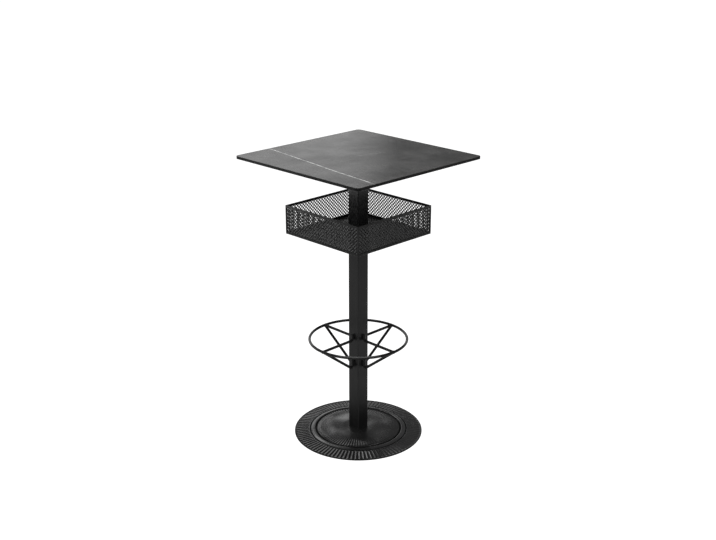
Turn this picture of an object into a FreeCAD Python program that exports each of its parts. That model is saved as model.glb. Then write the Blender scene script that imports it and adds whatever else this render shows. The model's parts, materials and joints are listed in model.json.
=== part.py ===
import FreeCAD, Part
import math
import os

# Square pub table on a pedestal: a laminate top, a mesh basket and a foot ring on a square
# column, and a round ribbed cast base. Millimetres. The origin is on the floor under the
# middle of the table, +Z is up, and the sides of the table run along X and Y.
# Front is -Y, right is +X, back is +Y and left is -X.

# Table top
table_height = 1050.0
top_side = 600.0
top_thickness = 10.0
top_corner_radius = 15.0
top_edge_chamfer = 0.8

# Column
column_side = 50.0
column_wall = 2.0
column_corner_radius = 3.0
column_seat_depth = 2.0
column_fit = 0.3
least_inner_radius = 0.5

# Plate and stub that join the top to the column
plate_side = 260.0
plate_thickness = 5.0
plate_corner_radius = 15.0
plate_hole_inset = 20.0
stub_wall = 3.0
stub_length = 40.0
stub_clearance = 0.4

# Screws and threaded inserts of the top
top_screw_diameter = 6.0
top_screw_head_diameter = 12.0
top_screw_head_height = 3.6
top_screw_engagement = 6.0
insert_wall = 1.5
insert_length = 7.0
insert_end_gap = 0.2
insert_fit = 0.05
thread_fit = 0.05
screw_hole_clearance = 0.3
drive_flats = 4.0
drive_depth = 1.6

# Tie rod that clamps base, column and plate together
rod_diameter = 10.0
rod_nut_flats = 16.0
rod_end_gap = 1.0
weld_nut_height = 8.4
clamp_nut_height = 5.0
clamp_nut_recess = 0.5
washer_diameter = 30.0
washer_thickness = 2.5
clamp_pocket_clearance = 1.5
rod_hole_clearance = 0.5

# Base casting: radii from the middle, heights above the floor
base_radius = 237.0
base_floor_gap = 1.0
rim_height = 5.0
rim_width = 4.0
band_height = 9.0
ridge_inside = 160.0
ridge_outside = 179.0
ridge_height = 12.0
ridge_round = 2.5
outer_groove_width = 2.4
outer_groove_height = 7.5
inner_groove_width = 4.5
inner_groove_height = 7.0
disc_edge_height = 11.5
hub_radius = 58.0
hub_height = 18.0

# Radial flutes of the casting
outer_flute_count = 100
outer_flute_depth = 1.4
outer_flute_land = 2.6
outer_flute_margin = 2.0
inner_flute_count = 92
inner_flute_depth = 1.0
inner_flute_start_depth = 0.3
inner_flute_land = 2.2
inner_flute_start = 98.0
inner_flute_margin = 1.5

# Levelling feet under the ridge of the casting
foot_radius = 168.0
pad_diameter = 30.0
pad_thickness = 3.0
pad_edge_chamfer = 0.5
pad_side_clearance = 0.8
pad_top_gap = 0.3
stud_diameter = 10.0
stud_fit = 0.08
stud_end_gap = 0.3
stud_cap = 3.0
pivot_diameter = 8.0
pivot_fit = 0.06
pivot_recess = 0.8
stud_drive_depth = 2.5

# Foot ring and its brackets of bent rod
ring_radius = 177.0
ring_height = 371.0
ring_rod_diameter = 10.0
bracket_rod_diameter = 10.0
spoke_bend_radius = 10.0
spoke_leg_length = 23.0
brace_drop = 112.0
brace_bend_radius = 8.0
brace_leg_length = 42.0
weld_gap = 0.1

# Basket of flat bar, mesh and sheet
basket_side = 360.0
basket_height = 104.0
basket_bottom = 770.0
bar_height = 8.0
bar_depth = 5.0
mesh_thickness = 1.2
mesh_pitch_across = 13.4
mesh_pitch_up = 14.6
mesh_strand = 3.4
mesh_border = 1.0
floor_thickness = 1.5
floor_hole_clearance = 0.5

# Brackets that carry the basket on the column
bracket_width = 25.0
bracket_reach = 32.0
bracket_drop = 30.0
bracket_thickness = 3.0
bracket_hole_reach = 19.0
basket_screw_diameter = 5.0
basket_screw_head_diameter = 9.5
basket_screw_head_height = 2.8
basket_screw_end = 1.5
basket_nut_flats = 8.0
basket_nut_height = 4.0

# Places that several pieces share
top_underside = table_height - top_thickness
plate_underside = top_underside - plate_thickness
column_foot = hub_height - column_seat_depth
column_face = column_side / 2
ridge_crest = ridge_inside + ridge_round
band_inside = ridge_outside + outer_groove_width
disc_edge_radius = ridge_inside - inner_groove_width
clamp_nut_bottom = base_floor_gap + clamp_nut_recess
washer_bottom = clamp_nut_bottom + clamp_nut_height
washer_top = washer_bottom + washer_thickness
pad_pocket_top = pad_thickness + pad_top_gap
stud_top = ridge_height - stud_cap - stud_end_gap
basket_top = basket_bottom + basket_height
basket_inside = basket_side - 2 * bar_depth
floor_top = basket_bottom + floor_thickness

SIDES = (("front", 0), ("right", 90), ("back", 180), ("left", 270))
CORNERS = (("front_left", 225), ("front_right", 315), ("back_right", 45), ("back_left", 135))
ORIGIN = FreeCAD.Vector(0, 0, 0)
UP = FreeCAD.Vector(0, 0, 1)
SAME_HEIGHT = 1e-6


def turned(shape, degrees):
    """A copy of a shape turned about the table's axis."""
    copy = shape.copy()
    copy.rotate(ORIGIN, UP, degrees)
    return copy


def cylinder(diameter, bottom, top, x=0.0, y=0.0):
    """An upright cylinder between two heights."""
    return Part.makeCylinder(diameter / 2, top - bottom, FreeCAD.Vector(x, y, bottom))


def hexagon(flats, bottom, top, x=0.0, y=0.0):
    """An upright hexagonal bar, given its size across flats."""
    reach = flats / math.sqrt(3)
    angles = [math.radians(60 * step) for step in range(7)]
    middle = FreeCAD.Vector(x, y, bottom)
    points = [middle + FreeCAD.Vector(math.cos(a), math.sin(a), 0) * reach for a in angles]
    return Part.Face(Part.makePolygon(points)).extrude(UP * (top - bottom))


def rounded_block(side, radius, bottom, top):
    """A square block about the axis, with its four upright edges rounded."""
    corner = FreeCAD.Vector(-side / 2, -side / 2, bottom)
    block = Part.makeBox(side, side, top - bottom, corner)
    upright = [e for e in block.Edges if e.Vertexes[0].Z != e.Vertexes[1].Z]
    return block.makeFillet(radius, upright)


def inner_radius(outer_radius, wall):
    """The radius inside a bent corner of a given wall."""
    return max(outer_radius - wall, least_inner_radius)


def rim_edges(shape, height):
    """The edges of a shape that lie at one height."""
    return [e for e in shape.Edges if all(abs(v.Z - height) < SAME_HEIGHT for v in e.Vertexes)]


def bent_rod(start, corner, end, bend_radius, diameter):
    """A round rod from start to end, bent once near the corner between them."""
    incoming = (corner - start).normalize()
    outgoing = (end - corner).normalize()
    half_turn = incoming.getAngle(outgoing) / 2
    setback = bend_radius * math.tan(half_turn)
    bend_start = corner - incoming * setback
    bend_end = corner + outgoing * setback
    inward = (outgoing - incoming).normalize()
    bend_middle = corner + inward * (bend_radius / math.cos(half_turn) - bend_radius)
    path = Part.Wire([
        Part.LineSegment(start, bend_start).toShape(),
        Part.Arc(bend_start, bend_middle, bend_end).toShape(),
        Part.LineSegment(bend_end, end).toShape(),
    ])
    section = Part.Wire([Part.Circle(start, incoming, diameter / 2).toShape()])
    return path.makePipeShell([section], True, True)


def top_screw_places():
    """Where the screws go: the corners and the side middles of a square."""
    reach = plate_side / 2 - plate_hole_inset
    steps = (-reach, 0.0, reach)
    return [(x, y) for x in steps for y in steps if x or y]


def table_top():
    board = rounded_block(top_side, top_corner_radius, top_underside, table_height)
    sharp = rim_edges(board, table_height) + rim_edges(board, top_underside)
    board = board.makeChamfer(top_edge_chamfer, sharp)
    hole = top_screw_diameter + 2 * (insert_wall + insert_fit)
    hole_top = top_underside + insert_length + insert_end_gap
    holes = [cylinder(hole, top_underside, hole_top, x, y) for x, y in top_screw_places()]
    return board.cut(holes)


def top_inserts():
    outside = top_screw_diameter + 2 * insert_wall
    inside = top_screw_diameter + 2 * thread_fit
    end = top_underside + insert_length
    inserts = []
    for x, y in top_screw_places():
        sleeve = cylinder(outside, top_underside, end, x, y)
        inserts.append(sleeve.cut(cylinder(inside, top_underside, end, x, y)))
    return Part.makeCompound(inserts)


def top_screws():
    end = top_underside + top_screw_engagement
    head_bottom = plate_underside - top_screw_head_height
    screws = []
    for x, y in top_screw_places():
        head = cylinder(top_screw_head_diameter, head_bottom, plate_underside, x, y)
        drive = hexagon(drive_flats, head_bottom, head_bottom + drive_depth, x, y)
        shank = cylinder(top_screw_diameter, plate_underside, end, x, y)
        screws.append(head.fuse(shank).cut(drive).removeSplitter())
    return Part.makeCompound(screws)


def top_plate():
    plate = rounded_block(plate_side, plate_corner_radius, plate_underside, top_underside)
    hole = top_screw_diameter + 2 * screw_hole_clearance
    holes = [cylinder(hole, plate_underside, top_underside, x, y) for x, y in top_screw_places()]
    return plate.cut(holes)


def square_tube(side, wall, radius, bottom, top):
    """A square tube with rounded corners, upright on the axis."""
    outside = rounded_block(side, radius, bottom, top)
    return outside.cut(rounded_block(side - 2 * wall, inner_radius(radius, wall), bottom, top))


def plate_stub():
    side = column_side - 2 * (column_wall + stub_clearance)
    radius = inner_radius(column_corner_radius, column_wall + stub_clearance)
    return square_tube(side, stub_wall, radius, plate_underside - stub_length, plate_underside)


def column_tube():
    return square_tube(column_side, column_wall, column_corner_radius, column_foot, plate_underside)


def tie_rod():
    return cylinder(rod_diameter, clamp_nut_bottom, plate_underside - rod_end_gap)


def rod_nut(bottom, height):
    """A nut on the tie rod."""
    top = bottom + height
    bore = cylinder(rod_diameter + 2 * thread_fit, bottom, top)
    return hexagon(rod_nut_flats, bottom, top).cut(bore)


def clamp_washer():
    bore = cylinder(rod_diameter + 2 * rod_hole_clearance, washer_bottom, washer_top)
    return cylinder(washer_diameter, washer_bottom, washer_top).cut(bore)


def casting_blank():
    """The casting turned about the axis: rim, sloping band, ridge between two grooves, disc and hub.

    The ridge falls to the outer groove in an arc that leaves its crest level, and to the inner groove in
    a quarter circle.
    """
    def at(radius, height):
        return FreeCAD.Vector(radius, 0, height)

    def ridge_arc(radius, turn):
        out = radius * math.sin(turn)
        return at(ridge_crest + out, ridge_height - abs(radius) * (1 - math.cos(turn)))

    reach = ridge_outside - ridge_crest
    fall = ridge_height - outer_groove_height
    fall_radius = (reach ** 2 + fall ** 2) / (2 * fall)
    fall_turn = math.asin(reach / fall_radius)
    crest = at(ridge_crest, ridge_height)
    outer_foot = ridge_arc(fall_radius, fall_turn)
    inner_foot = ridge_arc(-ridge_round, math.pi / 2)
    outer_side = Part.Arc(outer_foot, ridge_arc(fall_radius, fall_turn / 2), crest).toShape()
    inner_side = Part.Arc(crest, ridge_arc(-ridge_round, math.pi / 4), inner_foot).toShape()
    outer = Part.makePolygon([
        at(0, base_floor_gap),
        at(base_radius, base_floor_gap),
        at(base_radius, rim_height),
        at(base_radius - rim_width, rim_height),
        at(band_inside, band_height),
        at(band_inside, outer_groove_height),
        outer_foot,
    ])
    inner = Part.makePolygon([
        inner_foot,
        at(ridge_inside, inner_groove_height),
        at(disc_edge_radius, inner_groove_height),
        at(disc_edge_radius, disc_edge_height),
        at(hub_radius, hub_height),
        at(0, hub_height),
        at(0, base_floor_gap),
    ])
    outline = Part.Wire(outer.Edges + [outer_side, inner_side] + inner.Edges)
    return Part.Face(outline).revolve(ORIGIN, UP, 360)


def flute_cutter(start, end):
    """A cone whose underside cuts one groove along a sloping line of the casting.

    start and end are (radius, height, width, depth): a point on the surface, and the groove there.
    """
    def cone_end(radius, height, width, depth):
        cone_radius = (width ** 2 / 4 + depth ** 2) / (2 * depth)
        return cone_radius, FreeCAD.Vector(radius, 0, height + cone_radius - depth)

    start_round, foot = cone_end(*start)
    end_round, head = cone_end(*end)
    return Part.makeCone(start_round, end_round, (head - foot).Length, foot, head - foot)


def flute_cutters(count, land, foot, head, start, end):
    """The cutters of one band of flutes, spaced evenly round the casting, with a land between them.

    The band slopes straight from foot to head, given as (radius, height), and its flutes run from
    start to end, given as (radius, depth).
    """
    def groove_at(radius, depth):
        share = (radius - foot[0]) / (head[0] - foot[0])
        height = foot[1] + share * (head[1] - foot[1])
        return radius, height, 2 * math.pi * radius / count - land, depth

    cutter = flute_cutter(groove_at(*start), groove_at(*end))
    return [turned(cutter, 360 * (step + 0.5) / count) for step in range(count)]


def outer_flutes():
    foot = (base_radius - rim_width, rim_height)
    head = (band_inside, band_height)
    start = (band_inside + outer_flute_margin, outer_flute_depth)
    end = (base_radius - rim_width, outer_flute_depth)
    return flute_cutters(outer_flute_count, outer_flute_land, foot, head, start, end)


def inner_flutes():
    """These run out towards the hub."""
    foot = (disc_edge_radius, disc_edge_height)
    head = (hub_radius, hub_height)
    start = (inner_flute_start, inner_flute_start_depth)
    end = (disc_edge_radius - inner_flute_margin, inner_flute_depth)
    return flute_cutters(inner_flute_count, inner_flute_land, foot, head, start, end)


def base_casting():
    casting = casting_blank().cut(outer_flutes() + inner_flutes())
    socket_side = column_side + 2 * column_fit
    socket = rounded_block(socket_side, column_corner_radius + column_fit, column_foot, hub_height)
    clamp_pocket = cylinder(washer_diameter + 2 * clamp_pocket_clearance, base_floor_gap, washer_top)
    rod_hole = cylinder(rod_diameter + 2 * rod_hole_clearance, base_floor_gap, hub_height)
    cuts = [socket, clamp_pocket, rod_hole]
    pad_hole = pad_diameter + 2 * pad_side_clearance
    pad_pocket = cylinder(pad_hole, base_floor_gap, pad_pocket_top, foot_radius)
    stud_hole_top = stud_top + stud_end_gap
    stud_hole = cylinder(stud_diameter + 2 * stud_fit, base_floor_gap, stud_hole_top, foot_radius)
    for _, angle in CORNERS:
        cuts.append(turned(pad_pocket, angle))
        cuts.append(turned(stud_hole, angle))
    return casting.cut(cuts)


def levelling_pad():
    """The glide of one foot, on the X axis."""
    pad = cylinder(pad_diameter, 0, pad_thickness, foot_radius)
    pad = pad.makeChamfer(pad_edge_chamfer, rim_edges(pad, 0.0) + rim_edges(pad, pad_thickness))
    return pad.cut(cylinder(pivot_diameter + 2 * pivot_fit, 0, pad_thickness, foot_radius))


def levelling_stud():
    """The threaded stud of one foot, on the X axis, with a hexagon socket in its lower end."""
    thread = cylinder(stud_diameter, pad_thickness, stud_top, foot_radius)
    pivot = cylinder(pivot_diameter, pivot_recess, pad_thickness, foot_radius)
    drive = hexagon(drive_flats, pivot_recess, pivot_recess + stud_drive_depth, foot_radius)
    return thread.fuse(pivot).cut(drive).removeSplitter()


def ring_tube(clearance=0.0):
    """The ring of the foot rest, or the room that welded rods leave for it."""
    return Part.makeTorus(ring_radius, ring_rod_diameter / 2 + clearance, UP * ring_height)


def bracket_rod(drop, bend_radius, leg_length):
    """A rod on the front side, from the middle of the ring to a leg on the column."""
    leg = -(column_face + weld_gap + bracket_rod_diameter / 2)
    start = FreeCAD.Vector(0, -ring_radius, ring_height)
    corner = FreeCAD.Vector(0, leg, ring_height - drop)
    end = FreeCAD.Vector(0, leg, ring_height - drop + leg_length)
    return bent_rod(start, corner, end, bend_radius, bracket_rod_diameter)


def ring_spoke():
    spoke = bracket_rod(0.0, spoke_bend_radius, spoke_leg_length)
    return spoke.cut(ring_tube(weld_gap))


def ring_brace():
    brace = bracket_rod(brace_drop, brace_bend_radius, brace_leg_length)
    spoke_room = Part.makeCylinder(
        bracket_rod_diameter / 2 + weld_gap, ring_radius,
        FreeCAD.Vector(0, -ring_radius, ring_height), FreeCAD.Vector(0, 1, 0))
    return brace.cut([ring_tube(weld_gap), spoke_room])


def frame_bar(bottom):
    """The front bar of a basket frame, mitred at both ends."""
    outside = basket_side / 2
    inside = basket_inside / 2
    plan = [(-outside, -outside), (outside, -outside), (inside, -inside), (-inside, -inside)]
    outline = Part.makePolygon([FreeCAD.Vector(x, y, bottom) for x, y in plan + plan[:1]])
    return Part.Face(outline).extrude(UP * bar_height)


def corner_post():
    """The post of the basket's front left corner, between the two frames."""
    corner = FreeCAD.Vector(-basket_side / 2, -basket_side / 2, basket_bottom + bar_height)
    return Part.makeBox(bar_depth, bar_depth, basket_height - 2 * bar_height, corner)


def mesh_panel():
    """The front mesh: a sheet with rows of diamond gaps, every other row set half a pitch aside."""
    width = basket_inside
    height = basket_height - 2 * bar_height
    face_y = -basket_side / 2 + (bar_depth - mesh_thickness) / 2
    sill = basket_bottom + bar_height

    def outline(points):
        return Part.makePolygon([FreeCAD.Vector(x, face_y, sill + z) for x, z in points + points[:1]])

    columns = int((width - 2 * mesh_border) / mesh_pitch_across)
    rows = int((height - 2 * mesh_border) / mesh_pitch_up)
    left = -columns * mesh_pitch_across / 2
    low = (height - rows * mesh_pitch_up) / 2
    # A strand runs aslant between two gaps, so each gap is shorter than the pitch both ways.
    slant = math.hypot(mesh_pitch_across, mesh_pitch_up)
    half_wide = mesh_pitch_across / 2 - mesh_strand * slant / mesh_pitch_up / 2
    half_high = mesh_pitch_up / 2 - mesh_strand * slant / mesh_pitch_across / 2
    wires = [outline([(-width / 2, 0), (width / 2, 0), (width / 2, height), (-width / 2, height)])]
    for half_row in range(2 * rows - 1):
        shift = half_row % 2
        z = low + (half_row + 1) * mesh_pitch_up / 2
        for column in range(columns - shift):
            x = left + (column + (1 + shift) / 2) * mesh_pitch_across
            gap = [(x - half_wide, z), (x, z - half_high), (x + half_wide, z), (x, z + half_high)]
            wires.append(outline(gap))
    sheet = Part.makeFace(wires, "Part::FaceMakerBullseye")
    return sheet.extrude(FreeCAD.Vector(0, mesh_thickness, 0))


def bracket_hole_places():
    """Where the basket is screwed to its four brackets."""
    reach = column_face + bracket_hole_reach
    return [(0.0, -reach), (reach, 0.0), (0.0, reach), (-reach, 0.0)]


def basket_floor():
    corner = FreeCAD.Vector(-basket_inside / 2, -basket_inside / 2, basket_bottom)
    sheet = Part.makeBox(basket_inside, basket_inside, floor_thickness, corner)
    side = column_side + 2 * floor_hole_clearance
    passage = rounded_block(side, column_corner_radius + floor_hole_clearance, basket_bottom, floor_top)
    hole = basket_screw_diameter + 2 * screw_hole_clearance
    holes = [cylinder(hole, basket_bottom, floor_top, x, y) for x, y in bracket_hole_places()]
    return sheet.cut([passage] + holes)


def basket_bracket():
    """The front bracket: a bent strip with one leg on the column and one under the floor."""
    low = basket_bottom - bracket_drop
    step = basket_bottom - bracket_thickness
    back = -column_face
    strip_back = back - bracket_thickness
    tip = back - bracket_reach
    side = [(back, low), (back, basket_bottom), (tip, basket_bottom), (tip, step),
            (strip_back, step), (strip_back, low)]
    edge = -bracket_width / 2
    outline = Part.makePolygon([FreeCAD.Vector(edge, y, z) for y, z in side + side[:1]])
    strip = Part.Face(outline).extrude(FreeCAD.Vector(bracket_width, 0, 0))
    x, y = bracket_hole_places()[0]
    hole = basket_screw_diameter + 2 * screw_hole_clearance
    return strip.cut(cylinder(hole, step, basket_bottom, x, y))


def basket_screws():
    head_top = floor_top + basket_screw_head_height
    end = basket_bottom - bracket_thickness - basket_nut_height - basket_screw_end
    screws = []
    for x, y in bracket_hole_places():
        head = cylinder(basket_screw_head_diameter, floor_top, head_top, x, y)
        drive = hexagon(drive_flats, head_top - drive_depth, head_top, x, y)
        shank = cylinder(basket_screw_diameter, end, floor_top, x, y)
        screws.append(head.fuse(shank).cut(drive).removeSplitter())
    return Part.makeCompound(screws)


def basket_nuts():
    top = basket_bottom - bracket_thickness
    bottom = top - basket_nut_height
    bore = basket_screw_diameter + 2 * thread_fit
    nuts = []
    for x, y in bracket_hole_places():
        blank = hexagon(basket_nut_flats, bottom, top, x, y)
        nuts.append(blank.cut(cylinder(bore, bottom, top, x, y)))
    return Part.makeCompound(nuts)


def all_pieces():
    """Every piece of the table by name."""
    pieces = {
        "table_top": table_top(),
        "top_inserts": top_inserts(),
        "top_screws": top_screws(),
        "top_plate": top_plate(),
        "plate_stub": plate_stub(),
        "weld_nut": rod_nut(plate_underside - weld_nut_height, weld_nut_height),
        "column_tube": column_tube(),
        "tie_rod": tie_rod(),
        "clamp_washer": clamp_washer(),
        "clamp_nut": rod_nut(clamp_nut_bottom, clamp_nut_height),
        "base_casting": base_casting(),
        "foot_ring": ring_tube(),
        "basket_floor": basket_floor(),
        "basket_screws": basket_screws(),
        "basket_nuts": basket_nuts(),
    }
    side_pieces = {
        "spoke": ring_spoke(),
        "brace": ring_brace(),
        "rim": frame_bar(basket_top - bar_height),
        "sill": frame_bar(basket_bottom),
        "mesh": mesh_panel(),
        "bracket": basket_bracket(),
    }
    for piece, shape in side_pieces.items():
        for side, angle in SIDES:
            pieces[piece + "_" + side] = turned(shape, angle)
    post = turned(corner_post(), -CORNERS[0][1])
    pad = levelling_pad()
    stud = levelling_stud()
    for corner, angle in CORNERS:
        pieces["post_" + corner] = turned(post, angle)
        pieces["pad_" + corner] = turned(pad, angle)
        pieces["stud_" + corner] = turned(stud, angle)
    return pieces


os.makedirs("parts", exist_ok=True)
for name, shape in all_pieces().items():
    shape.exportStep("parts/" + name + ".step")
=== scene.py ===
import json
import math

import bmesh
import bpy
import numpy as np
from mathutils.geometry import delaunay_2d_cdt
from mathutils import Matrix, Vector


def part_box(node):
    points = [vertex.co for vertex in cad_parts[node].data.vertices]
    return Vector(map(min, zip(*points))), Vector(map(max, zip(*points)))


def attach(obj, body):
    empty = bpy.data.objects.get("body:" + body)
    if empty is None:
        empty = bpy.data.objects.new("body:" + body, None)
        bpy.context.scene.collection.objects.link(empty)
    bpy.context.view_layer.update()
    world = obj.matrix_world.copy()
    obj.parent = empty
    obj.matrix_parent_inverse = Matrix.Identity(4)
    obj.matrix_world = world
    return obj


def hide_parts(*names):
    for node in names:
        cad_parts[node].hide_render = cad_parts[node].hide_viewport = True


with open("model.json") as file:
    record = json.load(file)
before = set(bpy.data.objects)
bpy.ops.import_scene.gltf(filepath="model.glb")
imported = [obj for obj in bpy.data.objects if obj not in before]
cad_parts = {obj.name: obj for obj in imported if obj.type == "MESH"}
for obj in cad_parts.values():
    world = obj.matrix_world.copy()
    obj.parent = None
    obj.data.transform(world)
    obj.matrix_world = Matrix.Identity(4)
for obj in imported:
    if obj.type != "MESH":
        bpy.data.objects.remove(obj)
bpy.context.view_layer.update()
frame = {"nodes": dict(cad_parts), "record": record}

# The looks of a square pub table: a stone-look laminate top, a mesh basket and a foot ring on a
# square column, and a round ribbed cast base. Metres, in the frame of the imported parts: the floor
# is at z = 0 under the middle of the table. Front is -Y, right is +X.

PEDESTAL = "pedestal"
SIDES = ("front", "right", "back", "left")
CORNERS = ("front_left", "front_right", "back_right", "back_left")

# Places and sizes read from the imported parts
top_low, top_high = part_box("table_top")
column_low, column_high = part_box("column_tube")
rim_low, rim_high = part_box("rim_front")
sill_low, sill_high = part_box("sill_front")
mesh_low, mesh_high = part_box("mesh_front")
ring_low, ring_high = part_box("foot_ring")
spoke_low, spoke_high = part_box("spoke_front")
base_low, base_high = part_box("base_casting")
pad_low, pad_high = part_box("pad_front_left")
washer_low, washer_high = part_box("clamp_washer")
stud_low, stud_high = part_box("stud_front_left")

# Edges and corners of the top, the column and the basket bars
top_corner_radius = 0.015
top_edge_radius = 0.0009
column_corner_radius = 0.003
column_wall = 0.002
column_end_radius = 0.0004
bar_edge_radius = 0.0008
basket_corner_radius = 0.0012
flat_support = 0.0025
edge_steps = 5
corner_steps = 9

# Merging of doubled points, and the angles past which edges stay sharp, in degrees
seam_merge = 1e-6
sliver_merge = 1e-7
sharp_angle = 40
mesh_sharp_angle = 30
base_sharp_angle = 50

# Expanded mesh of the basket
mesh_columns = 27
mesh_rows = 7
mesh_strand = 0.0040
mesh_tilt = 0.0009
mesh_gap_points = 16
mesh_gap_bulge = 1.12
mesh_overlap = 0.001
mesh_edge_strand = 0.0012

# Rods and welds of the foot ring
ring_columns = 240
rod_sides = 20
bend_steps = 12
rod_end_chamfer = 0.0007
spoke_bend_radius = 0.010
brace_bend_radius = 0.008
brace_drop = 0.112
brace_leg_length = 0.042
weld_radius = 0.0013
weld_sides = 8
weld_ripple = 0.16
weld_ripples_round = 11
collar_points_per_ripple = 3
seam_points_per_ripple = 4
seam_ripple_pitch = 0.0022
seam_end_gap = 0.004
seam_end_power = 0.25
# A seam's place beside a leg and behind it, in shares of the rod's radius
seam_spread = 0.6
seam_depth = 0.8

# Ribbed base: radii and heights of the turned outline
rim_height = 0.005
rim_width = 0.004
band_height = 0.009
ridge_inside = 0.160
ridge_outside = 0.179
ridge_height = 0.012
ridge_round = 0.0025
ridge_round_steps = 5
ridge_fall_steps = 11
outer_groove_width = 0.0024
outer_groove_height = 0.0075
inner_groove_width = 0.0045
inner_groove_height = 0.007
disc_edge_height = 0.0115
hub_radius = 0.058
cast_round = 0.0007
band_inside = ridge_outside + outer_groove_width
disc_edge = ridge_inside - inner_groove_width
outer_flute_count = 100
outer_flute_depth = 0.0014
outer_flute_land = 0.0026
outer_flute_margin = 0.002
outer_flute_rise_before = 0.0012
outer_flute_rise_after = 0.0014
outer_flute_run_out = 0.0016
flute_points = np.array([0, 0.10, 0.22, 0.36, 0.5, 0.64, 0.78, 0.90])
inner_flute_count = 92
inner_flute_depth = 0.0010
inner_flute_start = 0.090
inner_flute_full = 0.135
inner_flute_margin = 0.0015
inner_flute_fall_before = 0.0015
inner_flute_fall_after = 0.0008
# Rows of the outline: distance past the hub's edge with the drop there, radius on the disc, distance to
# the disc's edge, distance past the band's inside, and distance to the band's end
hub_edge_rows = ((-0.004, 0), (-0.001, 0), (0, 0.00004), (0.0006, 0.0001))
disc_rows = (0.0594, 0.062, 0.074, inner_flute_start, 0.096, 0.104, 0.113, 0.122, 0.129,
             inner_flute_full, 0.143)
disc_edge_rows = (0.0055, 0.003, 0.0021, 0.0013, cast_round)
band_rows = (cast_round / 2, 0.0008, 0.0014, 0.0020, 0.0027, 0.0034, 0.006, 0.015, 0.027, 0.038, 0.0465)
band_end_rows = (0.0016, 0.0011, 0.0006)
# Where the base has the dark dull paint as painted shade: strips beside and in the grooves, one wall of each
# outer flute by its points, and the last rows of the outline, on the rim
inner_groove_shade_strip = 0.0031
outer_groove_shade_strip = 0.0034
shaded_flute_wall = (1, 2)
rim_shade_rows = 5
# Pockets and bores in the underside
pad_pocket_clearance = 0.0008
pad_pocket_gap = 0.0003
stud_clearance = 0.00008
stud_bore_gap = 0.0003
clamp_pocket_clearance = 0.0015
rod_hole_radius = 0.0055
rod_hole_roof = 0.002
pocket_points = 64
triangles_inside = 1
triangle_merge = 1e-9

# Veins of the top: start, end, half width, how far and how often it wanders, and its faintest share
main_vein = ((-0.146, 0.320), (-0.231, -0.320), 0.0038, 0.018, 2.6, 0.35)
short_vein = ((-0.006, 0.004), (0.110, -0.031), 0.0011, 0.010, 9.0, 0.2)
short_vein_strength = 0.6

# Painted highlight on the column's corners, by the distance in from its faces, and on the foot ring's upper
# side between its spokes, partly wear where feet rest and partly painted highlight, by the product of x and y
# in shares of the ring's radius squared
corner_highlight_start = 0.0032
corner_highlight_full = 0.0012
tread_highlight_start = 0.24
tread_highlight_full = 0.41

# Swell of the casting's skin, full on the disc and less outside it
swell_waves = 12.0
swell_shift = (0.3, 0.1, 0.0)
swell_depth = 0.012
swell_full_radius = 0.140
swell_less_radius = 0.158
swell_less_share = 0.3

# Camera that took the picture
camera_place = (-2.6018, -2.6157, 1.9529)
camera_azimuth = math.radians(44.83)
camera_pitch = math.radians(19.669)
camera_lens = 55.43
sensor_width = 36.0


# Outlines and profiles

def rounded_rectangle(half_x, half_y, radius, steps=corner_steps, support=flat_support):
    """Outline of a rectangle with rounded corners, anticlockwise from its right side.

    A corner is a quarter circle about the point set in from both sides by the radius. One more
    point follows the straight side at either end of the quarter circle, so that sides shade flat.
    The half sizes and the radius may be columns, and each of their rows then gives one outline.
    """
    corner = np.repeat(np.arange(4), steps + 2)
    share = np.tile(np.concatenate([[0], np.linspace(0, 1, steps), [1]]), 4)
    slide = np.tile(np.concatenate([[-1], np.zeros(steps), [1]]), 4)
    angle = (corner + share) * np.pi / 2
    facing = (corner + 0.5) * np.pi / 2
    reach = slide * np.minimum(support, np.minimum(half_x, half_y) - radius)
    x = (half_x - radius) * np.sign(np.cos(facing)) + radius * np.cos(angle) - reach * np.sin(angle)
    y = (half_y - radius) * np.sign(np.sin(facing)) + radius * np.sin(angle) + reach * np.cos(angle)
    return np.stack(np.broadcast_arrays(x, y), axis=-1)


def bar_profile(low, high, half_side, radius):
    """Closed section of a hoop's bar as (inset, height): a rounded rectangle between the bar's low and high
    corners."""
    half_depth = (high[1] - low[1]) / 2
    half_height = (high[2] - low[2]) / 2
    section = rounded_rectangle(half_depth, half_height, radius, edge_steps, half_depth / 2)
    inset = half_side + low[1] + half_depth - section[:, 0]
    return np.stack([inset, low[2] + half_height + section[:, 1]], axis=-1)


def slab_profile(half_side, low, high, radius):
    """Open section of a slab as (inset, height): from the middle of its underside, round its edge, to
    the middle of its top. The edge is rounded above and below by a quarter circle."""
    turn = np.linspace(0, np.pi / 2, edge_steps)
    inset = radius * (1 - np.sin(turn))
    drop = radius * (1 - np.cos(turn))
    edge = np.stack([inset, low + drop], axis=-1)
    flat = np.array([[half_side, low], [radius + flat_support, low]])
    lower = np.vstack([flat, edge])
    return np.vstack([lower, lower[::-1] * [1, -1] + [0, low + high]])


# Surfaces: each gives an array of points, rows by columns by x, y, z

def square_hoop(profile, half_side, corner_radius):
    """A profile carried round a square with rounded corners.

    Every (inset, height) row of the profile becomes one ring: the square's outline set in by the
    inset, at that height, with its corner radius smaller by the inset.
    """
    inset, height = profile[:, :1], profile[:, 1:]
    half = half_side - inset
    outline = rounded_rectangle(half, half, np.clip(corner_radius - inset, 0, half))
    level = np.broadcast_to(height[..., None], outline.shape[:2] + (1,))
    return np.concatenate([outline, level], axis=-1)


def upright_bar(centre, half_side, low, high):
    """A square bar with rounded edges that stands on end: the outline at both heights, closed by a point."""
    profile = np.array([[half_side, low], [0, low], [0, high], [half_side, high]])
    return square_hoop(profile, half_side, bar_edge_radius) + np.array([centre[0], centre[1], 0])


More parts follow.
